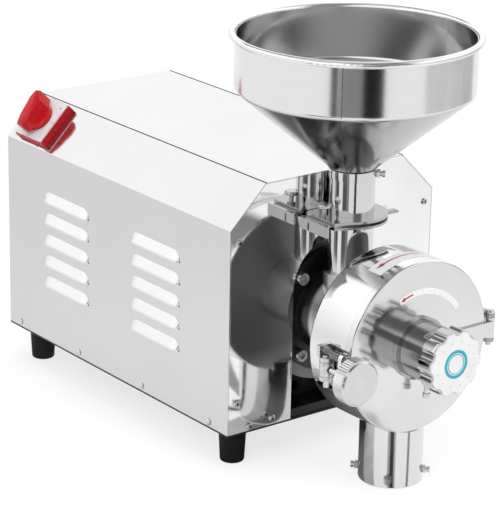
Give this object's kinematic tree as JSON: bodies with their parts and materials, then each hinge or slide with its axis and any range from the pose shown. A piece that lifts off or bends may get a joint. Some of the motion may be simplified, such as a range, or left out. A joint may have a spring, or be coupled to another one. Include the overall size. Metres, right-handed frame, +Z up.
{
  "type": "electric grain mill",
  "caption": "Disc grain mill: bevelled sheet-steel cabinet with rotary switch, round mill head with hinged lid and star adjuster, spout below and hopper above.",
  "frame": {"origin": "on the outlet spout's axis, at the spout's mouth, 1 mm above the bench", "axes": "+Z up; Y along the shaft, with the cabinet on +Y and the star knob on -Y; +X to the right seen from the lid's side"},
  "size_m": [0.2932, 0.6178, 0.4601],
  "materials": {
    "satin_steel": "satin, brushed",
    "mirror_steel": "mirror polished",
    "cast_dark": "painted casting",
    "tray_paint": "satin",
    "burr_iron": "ground faces",
    "shaft_steel": "turned",
    "core_steel": "varnished laminations",
    "copper": "varnished copper wire",
    "motor_aluminium": "as cast",
    "black_rubber": "matt",
    "black_plastic": "matt",
    "red_plastic": "gloss",
    "white_plastic": "gloss",
    "grey_plastic": "matt",
    "seal_rubber": "satin"
  },
  "bodies": {
    "cabinet": {"base_tray": "tray_paint", "left_side_panel": "satin_steel", "right_side_panel": "satin_steel", "top_panel": "satin_steel", "front_panel": "mirror_steel", "rear_panel": "satin_steel", "rubber_feet": "black_rubber", "foot_screws": "satin_steel", "panel_screws": "satin_steel", "cable_gland": "black_plastic", "switch_frame": "red_plastic", "switch_plate": "white_plastic", "switch_body": "grey_plastic", "motor_housing": "motor_aluminium", "stator_core": "core_steel", "stator_windings": "copper", "motor_front_bell": "motor_aluminium", "motor_rear_bell": "motor_aluminium", "motor_bearings": "shaft_steel", "fan_cover": "tray_paint", "motor_cradle": "tray_paint", "motor_bolts": "shaft_steel", "run_capacitors": "white_plastic", "throat_housing": "cast_dark", "shaft_seal": "seal_rubber", "drum": "mirror_steel", "outlet_spout": "mirror_steel", "spout_screws": "satin_steel", "lower_feed_tube": "mirror_steel", "gate_housing": "mirror_steel", "upper_feed_tube": "mirror_steel", "hopper": "satin_steel", "hopper_set_screw": "satin_steel", "hinge_ears": "cast_dark", "hinge_pin": "satin_steel", "clamp_bracket": "satin_steel", "clamp_pin": "satin_steel", "clamp_barrel": "satin_steel"},
    "rotating_shaft": {"drive_shaft": "shaft_steel", "rotor": "core_steel", "cooling_fan": "black_plastic", "auger": "shaft_steel", "burr_spider": "shaft_steel", "spider_nut": "shaft_steel", "rotating_burr": "burr_iron"},
    "lid_assembly": {"lid": "mirror_steel", "hub_tube": "satin_steel", "hinge_strap": "mirror_steel", "clamp_lug": "mirror_steel", "stop_screw": "satin_steel"},
    "adjuster": {"star_knob": "satin_steel", "knob_cap": "white_plastic"},
    "fixed_burr_carrier": {"burr_carrier": "shaft_steel", "fixed_burr": "burr_iron", "carrier_screws": "shaft_steel"},
    "hub_screw": {"hub_lock_screw": "satin_steel"},
    "clamp_hand_knob": {"clamp_knob": "satin_steel"},
    "slide_gate": {"gate_slide": "mirror_steel"},
    "gate_lock": {"gate_thumb_screw": "satin_steel"},
    "switch_handle": {"switch_knob": "red_plastic"}
  },
  "joints": [
    {"name": "shaft_spin", "type": "hinge", "parent": "cabinet", "child": "rotating_shaft", "pos_m": [0, 0.10275, 0.154], "axis": [0, -1, 0], "continuous": true},
    {"name": "lid_swing", "type": "hinge", "parent": "cabinet", "child": "lid_assembly", "pos_m": [0.1, -0.03225, 0.154], "axis": [0, 0, 1], "range_deg": [0, 160]},
    {"name": "adjuster_turn", "type": "hinge", "parent": "lid_assembly", "child": "adjuster", "pos_m": [0, -0.03625, 0.154], "axis": [0, -1, 0], "range_deg": [0, 360]},
    {"name": "burr_backoff", "type": "slide", "parent": "lid_assembly", "child": "fixed_burr_carrier", "axis": [0, -1, 0], "range_m": [0, 0.002]},
    {"name": "clamp_turn", "type": "hinge", "parent": "lid_assembly", "child": "clamp_hand_knob", "pos_m": [-0.099, -0.03625, 0.146], "axis": [0, -1, 0], "continuous": true},
    {"name": "hub_screw_turn", "type": "hinge", "parent": "lid_assembly", "child": "hub_screw", "pos_m": [0, -0.05125, 0.119], "axis": [0, 0, 1], "range_deg": [0, 360]},
    {"name": "gate_pull", "type": "slide", "parent": "cabinet", "child": "slide_gate", "axis": [-1, 0, 0], "range_m": [0, 0.063]},
    {"name": "gate_screw_turn", "type": "hinge", "parent": "cabinet", "child": "gate_lock", "pos_m": [-0.036, 0.07575, 0.269], "axis": [0, 0, 1], "range_deg": [0, 360]},
    {"name": "switch_turn", "type": "hinge", "parent": "cabinet", "child": "switch_handle", "pos_m": [-0.113, 0.47775, 0.286], "axis": [-0.7071, 0, 0.7071], "range_deg": [0, 90]}
  ],
  "couplings": [
    {"joint": "adjuster_turn", "follows": "burr_backoff", "rad_per_m": 3141.6}
  ]
}
